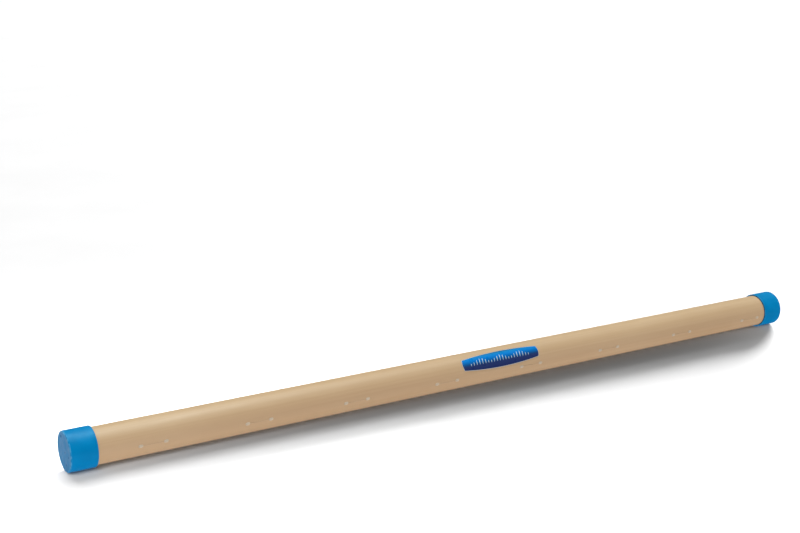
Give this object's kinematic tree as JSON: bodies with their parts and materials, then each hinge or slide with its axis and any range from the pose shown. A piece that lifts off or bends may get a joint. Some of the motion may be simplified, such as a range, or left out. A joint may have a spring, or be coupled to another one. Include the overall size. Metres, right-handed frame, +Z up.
{
  "type": "shuffleboard cue stick",
  "caption": "Straight tan plastic tube with soft blue push-on end caps, a barrel-shaped blue label and a row of small paired clips; a lawn game stick with no cue head.",
  "frame": {"origin": "on the floor under the middle of the stick, which lies on its two end caps; bottom centre of the whole object's box", "axes": "+X along the stick from the near cap to the far cap, +Z up, -Y towards the side that carries the label and the row of clips"},
  "size_m": [1.2066, 0.053, 0.0531],
  "materials": {
    "tube_plastic": "satin extruded tan plastic",
    "cap_vinyl": "soft satin blue vinyl",
    "label_white": "thin white film",
    "label_blue": "glossy domed blue badge, lighter at the top",
    "clip_nylon": "milky moulded nylon"
  },
  "bodies": {
    "stick": {"tube": "tube_plastic", "label_backing": "label_white", "label_face": "label_blue", "retaining_clip_1": "clip_nylon", "retaining_clip_2": "clip_nylon", "retaining_clip_3": "clip_nylon", "retaining_clip_4": "clip_nylon", "retaining_clip_5": "clip_nylon", "retaining_clip_6": "clip_nylon", "retaining_clip_7": "clip_nylon", "retaining_clip_8": "clip_nylon"},
    "near_cap": {"near_end_cap": "cap_vinyl"},
    "far_cap": {"far_end_cap": "cap_vinyl"}
  },
  "joints": [
    {"name": "near_cap_pull", "type": "slide", "parent": "stick", "child": "near_cap", "axis": [-1, 0, 0], "range_m": [0, 0.1]},
    {"name": "far_cap_pull", "type": "slide", "parent": "stick", "child": "far_cap", "axis": [1, 0, 0], "range_m": [0, 0.1]}
  ]
}
